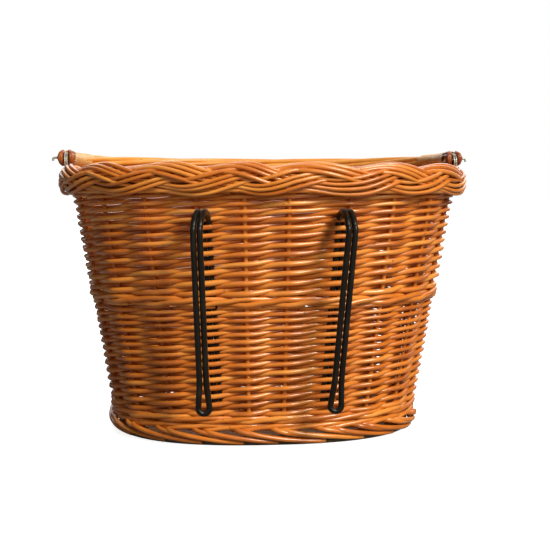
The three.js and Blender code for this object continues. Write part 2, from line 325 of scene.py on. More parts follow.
def rods_mesh(name, rods, resolution=2, cyclic=False):
    """Skins rods as closed tubes. 'grain' holds the distance along a rod and the place across it."""
    line = bpy.data.curves.new(name, "CURVE")
    line.dimensions = "3D"
    line.bevel_depth = 1.0
    line.bevel_resolution = resolution
    for rod in rods:
        spline = line.splines.new("POLY")
        spline.points.add(len(rod.points) - 1)
        spline.use_cyclic_u = cyclic
        for knot, point, radius in zip(spline.points, rod.points, rod.radii):
            knot.co = (*point, 1.0)
            knot.radius = radius
    carrier = placed(name, line)
    evaluated = carrier.evaluated_get(bpy.context.evaluated_depsgraph_get())
    mesh = bpy.data.meshes.new_from_object(evaluated)
    bpy.data.objects.remove(carrier)
    sides = 4 + 2 * resolution
    grain, tones = [], []
    for number, rod in enumerate(rods):
        along = 0.37 * number
        previous = rod.points[0]
        for point, radius in zip(rod.points, rod.radii):
            along += (point - previous).length
            previous = point
            for side in range(sides):
                angle = 2 * math.pi * side / sides
                grain += [along, radius * math.cos(angle), radius * math.sin(angle)]
                tones.append(rod.tone)
    mesh.attributes.new("grain", "FLOAT_VECTOR", "POINT").data.foreach_set("vector", grain)
    mesh.attributes.new("tone", "FLOAT", "POINT").data.foreach_set("value", tones)
    skin = bmesh.new()
    skin.from_mesh(mesh)
    ends = [edge for edge in skin.edges if edge.is_boundary]
    bmesh.ops.holes_fill(skin, edges=ends, sides=sides)
    bmesh.ops.recalc_face_normals(skin, faces=skin.faces[:])
    skin.to_mesh(mesh)
    skin.free()
    smooth_but_for(mesh, 55)
    return mesh


def willow_finish(name, dark, middle, light, gloss):
    """Steamed willow under varnish: streaks along the rod, blotches, small knots and scuffs."""
    finish = Finish(name, Coat_Weight=gloss, Coat_Roughness=0.20, Specular_IOR_Level=0.3)
    grain = finish.node("ShaderNodeAttribute", {"attribute_name": "grain"}, {}, "Vector")
    tone = finish.node("ShaderNodeAttribute", {"attribute_name": "tone"}, {}, "Fac")
    place = finish.node("ShaderNodeTexCoord", {}, {}, "Object")
    stretched = finish.node("ShaderNodeMapping", {}, {"Vector": grain, "Scale": (25, 420, 420)})
    streak = finish.node("ShaderNodeTexNoise", {}, {"Vector": stretched, "Scale": 1.0, "Detail": 5.0})
    finer = finish.node("ShaderNodeMapping", {}, {"Vector": grain, "Scale": (60, 1500, 1500)})
    fibre = finish.node("ShaderNodeTexNoise", {}, {"Vector": finer, "Scale": 1.0, "Detail": 3.0})
    blotch = finish.node("ShaderNodeTexNoise", {}, {"Vector": place, "Scale": 55.0, "Detail": 4.0})
    knot = finish.node("ShaderNodeTexVoronoi", {}, {"Vector": grain, "Scale": 75.0}, "Distance")
    knots = knot.rise(0.10, 0.04)
    scuff = finish.node("ShaderNodeTexNoise", {}, {"Vector": place, "Scale": 210.0, "Detail": 5.0})
    shade = tone * 0.48 + streak * 0.38 + blotch * 0.42 - 0.14
    stops = [(0.12, dark), (0.48, middle), (0.88, light)]
    wood = finish.node("ShaderNodeValToRGB", {"stops": stops}, {"Fac": shade})
    dusted = finish.mix(scuff.rise(0.62, 0.78) * 0.22, wood, (0.62, 0.40, 0.22))
    knotted = finish.mix(knots * 0.7, dusted, (0.12, 0.030, 0.010))
    finish.paint(knotted, 0.30 + streak * 0.22 + scuff.rise(0.6, 0.8) * 0.2)
    finish.bump(streak + fibre * 0.5 + knots * 0.8, 0.00025, 0.5)
    return finish.material


STAKE_WILLOW = willow_finish(
    "stake_willow", (0.26, 0.055, 0.006), (0.62, 0.185, 0.018), (0.85, 0.38, 0.07), 0.4)
stake_rng = random.Random(11)


def stake_rod(stake):
    lean = stake_rng.uniform(-STAKE_LEAN, STAKE_LEAN)
    knots = [(STAKE_FOOT, STAKE_HOLE_INSET), (BOARD_EDGE.z, STAKE_HOLE_INSET), STAKE_CLEAR]
    knots += [(STAKE_WOVEN_FROM + STAKE_STEP * i, STAKE_WOVEN_INSET) for i in range(15)]
    points = [on_wall(stake + lean * height / STAKE_TOP, height, -inset) for height, inset in knots]
    radii = [STAKE_RADIUS * stake_rng.uniform(0.96, 1.04) for _ in knots]
    return Rod(points, radii, mixed(stake_rng))


hang("stakes", rods_mesh("stakes", [stake_rod(stake) for stake in range(STAKES)]), STAKE_WILLOW,
     "basket", [f"stake_{stake + 1:02d}" for stake in range(STAKES)])


# ---- Foot border ----
# Two rods beside each stake, bent over below the wale and laid slanting down the board's edge.
# Each pair covers the tails of the pairs before it.

WILLOW = willow_finish(
    "willow", (0.26, 0.052, 0.005), (0.62, 0.178, 0.017), (0.88, 0.39, 0.070), 0.75)
FOOT_ROD_RADIUS = 0.0024
# A foot rod's way: its place from the stake, in stakes, its height and how proud it is.
FOOT_PATH = [(-0.30, 0.0150, -0.0075), (-0.12, 0.0148, -0.0040), (0.0, 0.0140, -0.0008),
             (0.12, 0.0128, 0.0008), (0.35, 0.0108, 0.0012), (0.65, 0.0088, 0.0012),
             (1.0, 0.0068, 0.0006), (1.3, 0.0053, -0.0002), (1.6, 0.0042, -0.0012),
             (1.85, 0.0036, -0.0018)]
FOOT_PARTNER = (-0.30, 0.0014, -0.0006)  # where the second rod lies from the first
foot_rng = random.Random(5)


def smoothed(points, steps):
    """Points on the smooth curve through the given ones, so many for each stretch."""
    ends = [2 * points[0] - points[1], *points, 2 * points[-1] - points[-2]]
    curve = []
    for before, here, there, after in zip(ends, ends[1:], ends[2:], ends[3:]):
        for step in range(steps):
            t = step / steps
            bend = 2 * before - 5 * here + 4 * there - after
            turn = 3 * here - before - 3 * there + after
            curve.append((2 * here + t * ((there - before) + t * (bend + t * turn))) / 2)
    return curve + [points[-1]]


def foot_rod(stake, partner):
    place_shift = partner * FOOT_PARTNER[0] + foot_rng.uniform(-0.05, 0.05)
    up = partner * FOOT_PARTNER[1] + foot_rng.uniform(-0.0004, 0.0004)
    out = partner * FOOT_PARTNER[2]
    knots = [Vector((stake + place + place_shift, height + up, proud + out))
             for place, height, proud in FOOT_PATH]
    points = [on_wall(*knot) for knot in smoothed(knots, 3)]
    radius = FOOT_ROD_RADIUS * foot_rng.uniform(0.88, 1.06)
    radii = [radius * (1 - 0.12 * i / len(points)) for i in range(len(points))]
    # The foot rods' tones are drawn from the darker end: painted shade, darker towards the bottom.
    return Rod(points, radii, mixed(foot_rng, 0.0, 0.75))


foot_rods = [foot_rod(stake, partner) for stake in range(STAKES) for partner in (0, 1)]
hang("foot_border_rods", rods_mesh("foot_border_rods", foot_rods), WILLOW, "basket",
     ["foot_border"])


# ---- Waling ----
# Bands of three rods worked together. Each rod passes outside two stakes and inside the third,
# and rises over the other two on the outside. They set the stakes and part the two weaves.

WALE_PROUD = 0.0004
WALE_REACH = 0.0015  # out to a rod's inner side, where it passes a stake
WALE_SPANS = ((-1, 20), (20, 44), (44, 65))  # the three rods of a round, in stakes
WALE_OUT = [1.0, 1.0, 1.0, 0.0, -1.0, 0.0]  # how far out, for each half stake of three
WALE_UP = [-0.50, 0.05, 0.50, 0.42, 0.0, -0.44]  # how high in its round, in rods
POINTS_PER_STAKE = 8


def around(values, place):
    """Smooth value at a place on a list of values that repeats."""
    index = math.floor(place)
    part = place - index
    part = part * part * (3 - 2 * part)
    count = len(values)
    return values[index % count] * (1 - part) + values[(index + 1) % count] * part


def wander(seed, place, size):
    """Slow unevenness along a rod."""
    return size * noise.noise(Vector((place * 0.45, seed * 7.31, 0.5)))


def wale_rods(bottom, row, rounds, radius, rng):
    """Level rounds of three rods. A round's pattern closes after three turns of the basket."""
    rods = []
    for turn in range(rounds):
        start = rng.randrange(STAKES)
        for first, last in WALE_SPANS:
            seed = rng.uniform(0, 100)
            own = radius * rng.uniform(0.94, 1.06)
            count = (last - first) * POINTS_PER_STAKE
            points, radii = [], []
            for i in range(count + 3):
                step = first + (i - 1) / POINTS_PER_STAKE
                height = bottom + row * (2 * turn + 1 + around(WALE_UP, 2 * step))
                proud = (WALE_REACH + own) * around(WALE_OUT, 2 * step) - WEAVE_INSET + WALE_PROUD
                height += wander(seed, step, 0.0005)
                proud += wander(seed + 50, step, 0.0004)
                points.append(on_wall(start + step, height, proud))
                radii.append(own * (1.05 - 0.12 * i / count))
            rods.append(Rod(points, radii, mixed(rng, 0.1, 1.0)))
    return rods


bottom_rods = wale_rods(bottom=0.0135, row=0.0035, rounds=2, radius=0.0023, rng=random.Random(21))
hang("bottom_wale_rods", rods_mesh("bottom_wale_rods", bottom_rods), WILLOW, "basket",
     ["bottom_wale"])
middle_rods = wale_rods(bottom=0.1258, row=0.0053, rounds=1, radius=0.0025, rng=random.Random(22))
hang("middle_wale_rods", rods_mesh("middle_wale_rods", middle_rods), WILLOW, "basket",
     ["middle_wale"])


# ---- Randing ----
# The plain weave. One rod starts behind each stake and all of them spiral up together, outside
# one stake and inside the next. The lower half is in thin rods and the upper half in thicker ones.

SWAY_SHARPNESS = 0.98
RANDING_BEHIND = 1.2  # how far behind its stake a rod starts, in stakes
RANDING_REACH = 0.0020  # out to a rod's inner side, where it passes a stake
RANDING_SEATED = 0.95  # how much of a rod's radius is added to that
RANDING_LIFT = 0.04


def sway(place):
    """From 1, outside a stake, to -1, inside the next: straight between, and rounded at each."""
    return math.asin(SWAY_SHARPNESS * math.cos(math.pi * place)) / math.asin(SWAY_SHARPNESS)


def randing_rods(bottom, top, rise, shrink, radius, taper, tones, rng):
    """Rise is for two stakes at the butts. It and the radius fall off towards the tips."""
    rods = []
    lowest = bottom + 0.9 * radius
    last = 2 * math.ceil((top - lowest) / (rise * (1 - shrink / 2))) + 0.3
    count = int((last + RANDING_BEHIND) * POINTS_PER_STAKE)
    for stake in range(STAKES):
        own = radius * rng.uniform(0.93, 1.07)
        seed = rng.uniform(0, 100)
        points, radii = [], []
        for i in range(count + 1):
            step = i / POINTS_PER_STAKE - RANDING_BEHIND
            part = max(0.0, step / last)
            thick = own * (1 - taper * part + wander(seed + 20, 2 * step, 0.06))
            lift = step / 2 * (1 - shrink * part / 2) - RANDING_LIFT * math.sin(2 * math.pi * step)
            height = max(lowest + rise * lift + wander(seed, step, 0.0006), lowest - 0.0008)
            proud = (RANDING_REACH + RANDING_SEATED * thick) * sway(step) - WEAVE_INSET
            points.append(on_wall(stake + step, height, proud + wander(seed + 50, step, 0.0005)))
            radii.append(thick)
        rods.append(Rod(points, radii, mixed(rng, *tones)))
    return rods


# The lower weave's rod tones are drawn darker than the upper weave's: painted shade, darker towards the
# bottom.
lower_rods = randing_rods(bottom=0.0275, top=0.1262, rise=0.0080, shrink=0.27, radius=0.00236,
                          taper=0.22, tones=(0.0, 0.85), rng=random.Random(31))
hang("lower_weave_rods", rods_mesh("lower_weave_rods", lower_rods), WILLOW, "basket",
     ["lower_weave"])
upper_rods = randing_rods(bottom=0.1362, top=0.2265, rise=0.0092, shrink=0.36, radius=0.00255,
                          taper=0.28, tones=(0.1, 1.0), rng=random.Random(32))
hang("upper_weave_rods", rods_mesh("upper_weave_rods", upper_rods), WILLOW, "basket",
     ["upper_weave"])


# ---- Plaited border ----
# The stakes' top ends and added rods, turned down over the wall and plaited flat in three strands
# of three or four rods each. The plait lies over the outside and the top, with fillers under its
# hollows. Inside it the turned ends wind over a core of rods.

PLAIT_MIDDLE_PROUD = -0.0030
PLAIT_MIDDLE_Z = 0.2366
PLAIT_THICK = 0.0068  # from the section's middle to the middle of the plait, outwards
PLAIT_TALL = 0.0122  # the same, upwards
PLAIT_FACING = math.radians(19)  # the plait's middle line looks out and a little up
PLAIT_SPREAD = 0.0085
PLAIT_UNITS = 16  # crossings round the rim
PLAIT_PHASE = 0.2
PLAIT_WEAVE = 0.0024
PLAIT_ROD_RADIUS = 0.0020
PLAIT_BEND = 0.0098  # how far the plait goes round the rim for one radian
PLAIT_ROD_START = 0.30
PLAIT_ROD_LENGTH = 3.25
PLAIT_END_DIP = 0.0022
PLAIT_LANES = {3: (0.0041, 1.02), 4: (0.0037, 0.93)}  # rods in a strand: their pitch, how stout
WINDING_PROUD = -0.0040
WINDING_REACH = 0.0098
WINDING_RADIUS = 0.0022
WINDING_LENGTH = 2.4
WINDING_FROM = 62  # degrees up from straight outwards, where a turned end leaves the top
WINDING_SWEEP = 205
CORE_RODS = 6
CORE_PROUD = -0.0045
CORE_THICK = 0.0030
CORE_TALL = 0.0060
CORE_ROD_RADIUS = 0.0027
FILLER_ANGLES = (102, 80, -60)
FILLER_DEPTH = 0.0020
FILLER_RADIUS = 0.0019
FILLER_DRIFT = 0.12  # radians up and down, three times round the rim
plait_rng = random.Random(41)


def border_point(place, angle, reach_out, reach_up, middle_proud=PLAIT_MIDDLE_PROUD):
    """Point round the border's section, at an angle up from straight outwards."""
    height = PLAIT_MIDDLE_Z + reach_up * math.sin(angle)
    level = on_wall(place, PLAIT_MIDDLE_Z, middle_proud + reach_out * math.cos(angle))
    return Vector((level.x, level.y, height))


def plait_rod(unit, lane, radius):
    points, radii = [], []
    steps = 56
    seed = plait_rng.uniform(0, 100)
    stride = STAKES / PLAIT_UNITS
    for i in range(steps + 1):
        place = PLAIT_ROD_START + PLAIT_ROD_LENGTH * i / steps
        turn = 2 * math.pi * place / 3
        lateral = PLAIT_SPREAD * (math.sin(turn) + sway(2 * place / 3 - 0.5)) / 2 + lane
        end_dip = PLAIT_END_DIP * (max(0, 1 - i / 3) + max(0, 1 - (steps - i) / 3))
        depth = -PLAIT_WEAVE * math.sin(2 * turn) - end_dip + wander(seed, place, 0.0005)
        angle = PLAIT_FACING + (lateral + wander(seed + 9, place, 0.0012)) / PLAIT_BEND
        spot = stride * (3 * unit + place + PLAIT_PHASE)
        points.append(border_point(spot, angle, PLAIT_THICK + depth, PLAIT_TALL + depth))
        radii.append(radius * (1.04 - 0.14 * i / steps))
    return Rod(points, radii, mixed(plait_rng, 0.1, 1.0))


def plait_rods():
    rods = []
    for unit in range(PLAIT_UNITS):
        lanes = 3 if unit % 3 == 2 else 4
        pitch, stoutness = PLAIT_LANES[lanes]
        radius = PLAIT_ROD_RADIUS * stoutness
        for lane in range(lanes):
            across = pitch * (lane - (lanes - 1) / 2)
            rods.append(plait_rod(unit, across, radius * plait_rng.uniform(0.92, 1.06)))
    return rods


def winding_rod(start):
    """A turned end inside the rim: from the top, down the inner side and under the plait."""
    points, radii = [], []
    steps = 18
    radius = WINDING_RADIUS * plait_rng.uniform(0.9, 1.08)
    for i in range(steps + 1):
        part = i / steps
        angle = math.radians(WINDING_FROM + WINDING_SWEEP * part)
        place = start + WINDING_LENGTH * part
        points.append(border_point(place, angle, WINDING_REACH, WINDING_REACH, WINDING_PROUD))
        radii.append(radius * (1.05 - 0.15 * part))
    return Rod(points, radii, mixed(plait_rng))


def core_rod(number):
    """One of the rods twisted together into the core, all the way round."""
    points = []
    steps = 12 * STAKES
    for i in range(steps):
        place = i * STAKES / steps
        angle = 2 * math.pi * (number / CORE_RODS + place / 11)
        points.append(border_point(place, angle, CORE_THICK, CORE_TALL, CORE_PROUD))
    return Rod(points, [CORE_ROD_RADIUS] * steps, 0.15)


def filler_rod(degrees):
    """A rod laid round under the plait. It fills the hollows between the strands."""
    points = []
    steps = 12 * STAKES
    seed = plait_rng.uniform(0, 100)
    for i in range(steps + 1):
        place = i * STAKES / steps
        drift = FILLER_DRIFT * math.sin(2 * math.pi * 3 * place / STAKES + seed)
        angle = math.radians(degrees) + drift
        points.append(border_point(place, angle, PLAIT_THICK - FILLER_DEPTH, PLAIT_TALL - FILLER_DEPTH))
    return Rod(points, [FILLER_RADIUS] * (steps + 1), mixed(plait_rng, 0.2, 0.9))


rim_rods = plait_rods() + [winding_rod(third / 3) for third in range(3 * STAKES)]
rim_rods += [filler_rod(degrees) for degrees in FILLER_ANGLES]
hang("plait_border_rods", rods_mesh("plait_border_rods", rim_rods), WILLOW, "basket",
     ["plait_border"])
core_rods = [core_rod(number) for number in range(CORE_RODS)]
hang("plait_core_rods", rods_mesh("plait_core_rods", core_rods, cyclic=True), STAKE_WILLOW,
     "basket", ["plait_border"])


# ---- Handlebar hooks ----
# One steel wire each, bent double into a long hairpin and over at the top, in a soft black
# plastic sleeve. The inner legs are pushed down inside the wall, and the loop hangs outside.

SLEEVE_RADIUS = 0.0026
WIRE_RADIUS = 0.00175
HOOK_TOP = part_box("left_hook_sleeve")[1].z
HOOK_FOOT = 0.036
HOOK_REACH = 0.038
# How far across each pair of legs is, at the foot and at the top: inside the wall, then in front.
HOOK_LEGS = {"left": ((-0.048, -0.060), (-0.0615, -0.0685)),
             "right": ((0.048, 0.060), (0.051, 0.063))}
INNER_HEIGHTS = (HOOK_FOOT, 0.08, 0.123, 0.16)
BEND_STEPS = 8
LEG_SPREAD = 0.0028
BEND_SPREAD = 0.0027
LEG_INSET = 0.0087  # the inner legs lie between the rods that pass inside and outside
LOOP_RADIUS = 0.0047
LOOP_NECK = 0.012  # how far above the loop its legs are still closing
WRINKLE = 0.03  # of the sleeve's radius, where it is squeezed in the loop
WRINKLE_RATE = 9000


def front_point(across, height, proud):
    """Point on the front of the wall, at a distance across from the middle."""
    half_width, half_depth = wall_halves(height, proud)
    back = half_depth * (1 - abs(across / half_width) ** OVAL_POWER) ** (1 / OVAL_POWER)
    return Vector((across, -back, height))


def leg_across(leg, height):
    return leg[0] + (leg[1] - leg[0]) * (height - HOOK_FOOT) / (HOOK_TOP - HOOK_FOOT)


def hook_leg(inner_leg, outer_leg, hand):
    """One leg of a hook: up inside the wall, over the bend under the border and down in front."""
    bend_radius = HOOK_REACH / 2
    bend_z = HOOK_TOP - SLEEVE_RADIUS - bend_radius

    def inner(height):
        return front_point(leg_across(inner_leg, height) + hand * LEG_SPREAD, height, -LEG_INSET)

    def outer(height, spread):
        wall = front_point(leg_across(inner_leg, height), height, -STAKE_INSET)
        return Vector((leg_across(outer_leg, height) + hand * spread, wall.y - HOOK_REACH, height))

    points = [inner(height) for height in INNER_HEIGHTS]
    for step in range(BEND_STEPS + 1):
        angle = math.pi * step / BEND_STEPS
        point = inner(bend_z).lerp(outer(bend_z, BEND_SPREAD), (1 - math.cos(angle)) / 2)
        point.z = bend_z + bend_radius * math.sin(angle)
        points.append(point)
    loop_z = HOOK_FOOT + SLEEVE_RADIUS + LOOP_RADIUS
    points += [outer(0.15, LEG_SPREAD), outer(0.11, LEG_SPREAD), outer(0.068, LEG_SPREAD + 0.0001)]
    points += [outer(loop_z + LOOP_NECK, (LEG_SPREAD + LOOP_RADIUS) / 2), outer(loop_z, LOOP_RADIUS)]
    return points


def hook_points(legs):
    """The whole wire: one leg, the loop at the foot, and the other leg back again."""
    first = hook_leg(*legs, -1)
    second = hook_leg(*legs, 1)
    loop = []
    for step in range(1, BEND_STEPS):
        angle = math.pi * step / BEND_STEPS
        point = first[-1].lerp(second[-1], (1 - math.cos(angle)) / 2)
        point.z = first[-1].z - LOOP_RADIUS * math.sin(angle)
        loop.append(point)
    return smoothed(first + loop + second[::-1], 6)


def sleeve_finish():
    finish = Finish("hook_sleeve", Specular_IOR_Level=0.3)
    place = finish.node("ShaderNodeTexCoord", {}, {}, "Object")
    tall = finish.node("ShaderNodeMapping", {}, {"Vector": place, "Scale": (300, 300, 40)})
    rub = finish.node("ShaderNodeTexNoise", {}, {"Vector": tall, "Scale": 1.0, "Detail": 5.0})
    speck = finish.node("ShaderNodeTexNoise", {}, {"Vector": place, "Scale": 1400.0, "Detail": 2.0})
    dust = speck.rise(0.62, 0.8) * 0.25 + rub.rise(0.5, 0.9) * 0.35
    finish.paint(finish.mix(dust, (0.0065, 0.006, 0.0045), (0.045, 0.043, 0.032)), 0.24 + rub * 0.2)
    finish.bump(speck * 0.4 + rub, 0.00012, 0.5)
    return finish.material


def wire_finish():
    finish = Finish("galvanised_wire", Metallic=0.6)
    grain = finish.node("ShaderNodeAttribute", {"attribute_name": "grain"}, {}, "Vector")
    drawn = finish.node("ShaderNodeMapping", {}, {"Vector": grain, "Scale": (90, 1800, 1800)})
    scratch = finish.node("ShaderNodeTexNoise", {}, {"Vector": drawn, "Scale": 1.0, "Detail": 4.0})
    bloom = finish.node("ShaderNodeTexNoise", {}, {"Vector": grain, "Scale": 400.0, "Detail": 3.0})
    zinc = finish.mix(bloom.rise(0.3, 0.75), (0.40, 0.38, 0.33), (0.58, 0.56, 0.49))
    finish.paint(zinc, 0.32 + bloom * 0.2)
    finish.bump(scratch + bloom * 0.5, 0.00003, 0.25)
    return finish.material


SLEEVE = sleeve_finish()
WIRE = wire_finish()


def sleeve_radius(point, first):
    """The sleeve's radius at a point of the wire. It is wrinkled in the loop, outside the wall."""
    near_loop = max(0.0, 1 - (point.z - HOOK_FOOT) / LOOP_NECK)
    if point.y >= first.y - HOOK_REACH / 2:
        near_loop = 0.0
    return SLEEVE_RADIUS * (1 + WRINKLE * near_loop * math.sin(point.x * WRINKLE_RATE))


for side, legs in HOOK_LEGS.items():
    line = hook_points(legs)
    wrinkled = [sleeve_radius(point, line[0]) for point in line]
    hang(f"{side}_hook_sleeve_tube", rods_mesh("sleeve", [Rod(line, wrinkled, 0.5)], resolution=6),
         SLEEVE, "basket", [f"{side}_hook_sleeve"])
    down = Vector((0.0, 0.0, -0.0008))
    bare = [line[0] + down, *line, line[-1] + down]
    steel = Rod(bare, [WIRE_RADIUS] * len(bare), 0.5)
    hang(f"{side}_hook_steel", rods_mesh("wire", [steel], resolution=4), WIRE, "basket",
         [f"{side}_hook_wire"])


# ---- Bail handle ----
# A bundle of willow rods, bent to the mouth's shape and lying on the far rim. At both ends the
# rods are softened, split and folded round the hinge pin in two prongs.

PIVOT = Vector(frame["joints"][0]["pos_m"])
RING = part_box("right_hinge_ring")
BOW_HALF_WIDTH = (RING[0].x + RING[1].x) / 2
BOW_HALF_DEPTH = 0.140
BOW_DROOP = 0.0025
BOW_ROD_RADIUS = 0.0026
BOW_BUNDLE = 0.0039  # from the middle of the bundle to the middle of a rod
BOW_START = 0.016
BOW_RODS = 5
BOW_TWIST = 1.2  # turns of the bundle from end to end
bow_rng = random.Random(61)
# The handle's willow is a lighter copy of the basket's willow: painted light, standing in for the light
# that falls on the bow's top.
HANDLE_WILLOW_PAINTED_LIGHT = willow_finish(
    "handle_willow_painted_light", (0.42, 0.12, 0.016), (0.72, 0.27, 0.036), (0.90, 0.48, 0.12), 0.35)


def bow_point(angle):
    """Point on the folded handle's middle line, at an angle round from its right pivot."""
    across = math.copysign(abs(math.cos(angle)) ** (2 / OVAL_POWER), math.cos(angle))
    along = abs(math.sin(angle)) ** (2 / OVAL_POWER)
    return Vector((BOW_HALF_WIDTH * across, BOW_HALF_DEPTH * along, PIVOT.z - BOW_DROOP * along))


def bow_angle(distance):
    """The angle at which the middle line is this far back from the pivots."""
    return math.asin((distance / BOW_HALF_DEPTH) ** (OVAL_POWER / 2))


def bow_strand(number):
    points, radii = [], []
    steps = 110
    start = bow_angle(BOW_START)
    for i in range(steps + 1):
        angle = start + (math.pi - 2 * start) * i / steps
        middle = bow_point(angle)
        ahead = (bow_point(angle + 0.001) - bow_point(angle - 0.001)).normalized()
        side = ahead.cross(Vector((0.0, 0.0, 1.0))).normalized()
        turn = 2 * math.pi * (number / BOW_RODS + BOW_TWIST * i / steps)
        tight = min(1.0, 0.80 + 0.2 * min(i, steps - i) / 12)
        reach = BOW_BUNDLE * tight * (1 + wander(number + 3, 9 * i / steps, 0.10))
        points.append(middle + reach * (math.cos(turn) * side + math.sin(turn) * side.cross(ahead)))
        radii.append(BOW_ROD_RADIUS * (1 + wander(number + 30, 8 * i / steps, 0.10)))
    return Rod(points, radii, mixed(bow_rng, 0.35, 1.0))


bow_rods = [bow_strand(number) for number in range(BOW_RODS)]
hang("handle_bow_rods", rods_mesh("handle_bow_rods", bow_rods, resolution=3), HANDLE_WILLOW_PAINTED_LIGHT,
     "handle", ["handle_bow"])


# ---- Handle forks ----
# The folded ends: flattened, cracked and darker, because they were soaked and bent hard.

FOLDED_WILLOW = willow_finish(
    "folded_willow", (0.13, 0.026, 0.006), (0.33, 0.080, 0.014), (0.56, 0.20, 0.04), 0.25)
# Each loop: how far across from the ring, its reach from the pin, its radius, and how far it
# leans in over the top.
FORK_LOOPS = [(0.0046, 0.0060, 0.0018, 0.25), (0.0066, 0.0062, 0.0018, 0.50),
              (0.0066, 0.0030, 0.0017, 0.12), (0.0047, 0.0024, 0.0017, 0.0)]
FORK_CORNERS = (90, 135, 180, 225, 270)
FORK_BLOCK = 0.0095  # where the loops leave the pin side by side, back from it
FORK_BLOCK_UP = 0.0046
FORK_GATHER = 0.019  # where the binding draws them together
FORK_GATHER_UP = 0.0036
FORK_TAIL = 0.030  # where they end in the bundle
FORK_TAIL_UP = 0.0030
fork_rng = random.Random(71)


def fork_loop(side, across, reach, radius, lean):
    """A rod from the bundle, round the front of the pin with hard kinks, and back to the bundle."""
    middle = side * BOW_HALF_WIDTH
    corners = []
    for degrees in FORK_CORNERS:
        angle = math.radians(degrees)
        kink = reach * fork_rng.uniform(0.97, 1.05)
        beside = middle + across * (1 - lean * math.sin(angle) ** 2)
        height = PIVOT.z + kink * math.sin(angle)
        corners.append(Vector((beside, kink * math.cos(angle), height)))
    inward = side * (bow_point(bow_angle(FORK_TAIL)).x - BOW_HALF_WIDTH)
    tails = []
    for up in (1, -1):
        block_up = PIVOT.z + up * min(reach, FORK_BLOCK_UP)
        block = Vector((middle + across * 0.95, FORK_BLOCK, block_up))
        drawn_in = middle + inward * 0.35 + across * 0.55
        gather = Vector((drawn_in, FORK_GATHER, PIVOT.z + up * FORK_GATHER_UP))
        end = Vector((middle + inward + across * 0.40, FORK_TAIL, PIVOT.z + up * FORK_TAIL_UP))
        tails.append([block, gather, end])
    points = tails[0][::-1] + corners + tails[1]
    return Rod(points, [radius] * len(points), mixed(fork_rng, 0.0, 0.8))


for side, hand in (("left", -1), ("right", 1)):
    loops = [fork_loop(hand, prong * across, reach, radius, lean)
             for prong in (-1, 1) for across, reach, radius, lean in FORK_LOOPS]
    hang(f"{side}_handle_fork_rods", rods_mesh("fork", loops, resolution=3), FOLDED_WILLOW,
         "handle", [f"{side}_handle_fork"])


# ---- Handle bindings ----
# Flat split cane, wound edge over edge round each fold to hold it shut. It is widest at the fork.

BINDING_START = 0.0105
BINDING_END = 0.069
BINDING_PITCH = 0.0052
BINDING_OVERLAP = 1.08
BINDING_THICKNESS = 0.0006
BINDING_RADIUS = 0.0068
BINDING_FLARE = 0.0013
BINDING_TILT = 0.0012  # how much one edge of the strip stands out over the other
BINDING_SIDES = 20


def cane_finish():
    finish = Finish("split_cane", Coat_Weight=0.45, Coat_Roughness=0.2)
    place = finish.node("ShaderNodeTexCoord", {}, {}, "Object")
    wound = finish.node("ShaderNodeMapping", {}, {"Vector": place, "Scale": (60, 1100, 60)})
    fibre = finish.node("ShaderNodeTexNoise", {}, {"Vector": wound, "Scale": 1.0, "Detail": 4.0})
    blotch = finish.node("ShaderNodeTexNoise", {}, {"Vector": place, "Scale": 120.0, "Detail": 4.0})
    stops = [(0.25, (0.58, 0.27, 0.08)), (0.5, (0.82, 0.46, 0.17)), (0.8, (0.92, 0.64, 0.32))]
    colour = finish.node("ShaderNodeValToRGB", {"stops": stops}, {"Fac": fibre * 0.5 + blotch * 0.5})
    finish.paint(colour, 0.32 + fibre * 0.2)
    finish.bump(fibre + blotch * 0.4, 0.0002, 0.5)
    return finish.material


def binding_radius(distance):
    """The wound surface: wide over the fold and close on the bundle."""
    part = (distance - BINDING_START) / (BINDING_END - BINDING_START)
    return BINDING_RADIUS + BINDING_FLARE * max(0.0, 1 - 1.6 * part) ** 1.5


def binding_mesh(side):
    """The strip, wound as a screw about the bow's line and then laid on the wound surface."""
    strip = bmesh.new()
    rows = [0.0, 0.2, 0.5, 0.8, 1.0]
    spots = [Vector((0.0, BINDING_START + BINDING_PITCH * BINDING_OVERLAP * row, 1.0)) for row in rows]
    corners = [strip.verts.new(spot) for spot in spots]
    edges = [strip.edges.new(pair) for pair in zip(corners, corners[1:])]
    turns = (BINDING_END - BINDING_START - BINDING_PITCH * BINDING_OVERLAP) / BINDING_PITCH
    bmesh.ops.spin(strip, geom=corners + edges, cent=(0, 0, 0), axis=(0, 1, 0),
                   dvec=(0, BINDING_PITCH / BINDING_SIDES, 0), angle=2 * math.pi * turns,
                   steps=int(turns * BINDING_SIDES), use_duplicate=False)
    for vert in strip.verts:
        distance = vert.co.y
        angle = math.atan2(vert.co.x, vert.co.z)
        wrap = (distance - BINDING_START) / BINDING_PITCH - (-angle / (2 * math.pi)) % 1.0
        tilt = BINDING_TILT * (0.5 - wrap % 1.0)
        middle = bow_point(bow_angle(max(distance, 1e-4)))
        reach = binding_radius(distance) + tilt
        across = side * middle.x + reach * math.sin(angle)
        vert.co = Vector((across, distance, middle.z + reach * math.cos(angle)))
    bmesh.ops.recalc_face_normals(strip, faces=strip.faces[:])
    bmesh.ops.solidify(strip, geom=strip.faces[:], thickness=BINDING_THICKNESS)
    bmesh.ops.recalc_face_normals(strip, faces=strip.faces[:])
    mesh = mesh_from(strip, "binding")
    smooth_but_for(mesh, 40)
    return mesh


CANE = cane_finish()

for side, hand in (("left", -1), ("right", 1)):
    hang(f"{side}_binding_strip", binding_mesh(hand), CANE, "handle",
         [f"{side}_handle_binding"])


# ---- Hinges ----
# A short piece of galvanised wire, its outer end turned down, runs through the fold. A ring of two
# turns between the prongs ties it down to the border.

